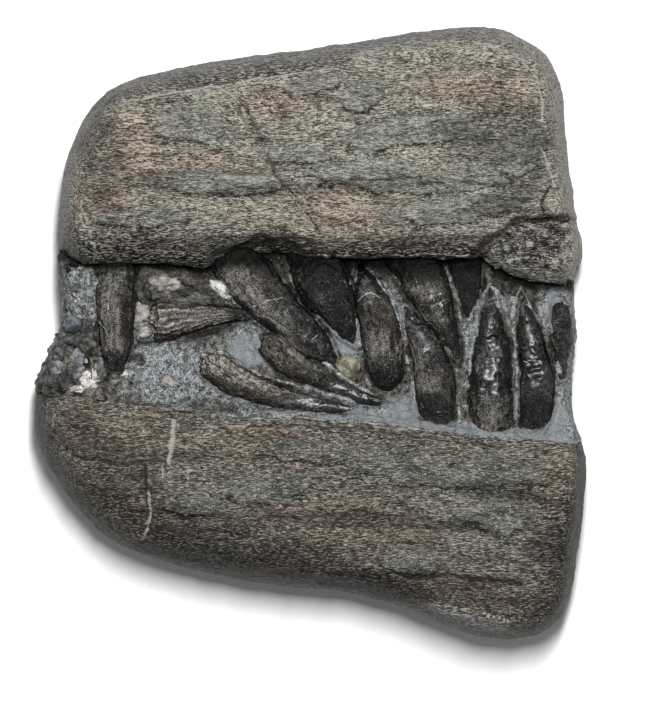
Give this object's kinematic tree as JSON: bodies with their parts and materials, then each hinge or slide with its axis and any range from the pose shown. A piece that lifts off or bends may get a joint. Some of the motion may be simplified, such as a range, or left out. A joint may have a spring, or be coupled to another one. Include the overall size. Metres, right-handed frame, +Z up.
{
  "type": "fossil ichthyosaur jaw",
  "caption": "Fossil ichthyosaur jaw section: upper and lower jaw bones with a strip of rock between them, cut back to show pointed teeth, lying on its worn back.",
  "frame": {"origin": "middle of the underside of the whole block, on the floor it lies on", "axes": "+X to the right along the jaws, +Y towards the top of the upper jaw, +Z up, towards whoever looks down on the teeth"},
  "size_m": [0.2, 0.2222, 0.0606],
  "materials": {
    "bone": "matte",
    "rock": "matte",
    "tooth": "satin",
    "nodule": "matte"
  },
  "bodies": {
    "root": {"upper_jaw": "bone", "lower_jaw": "bone", "matrix": "rock", "loose_tooth_long": "tooth", "loose_tooth_short": "tooth", "loose_tooth_upright": "tooth", "loose_root": "tooth", "nodule_round": "nodule", "nodule_oval": "nodule", "nodule_edge": "nodule"}
  },
  "joints": []
}
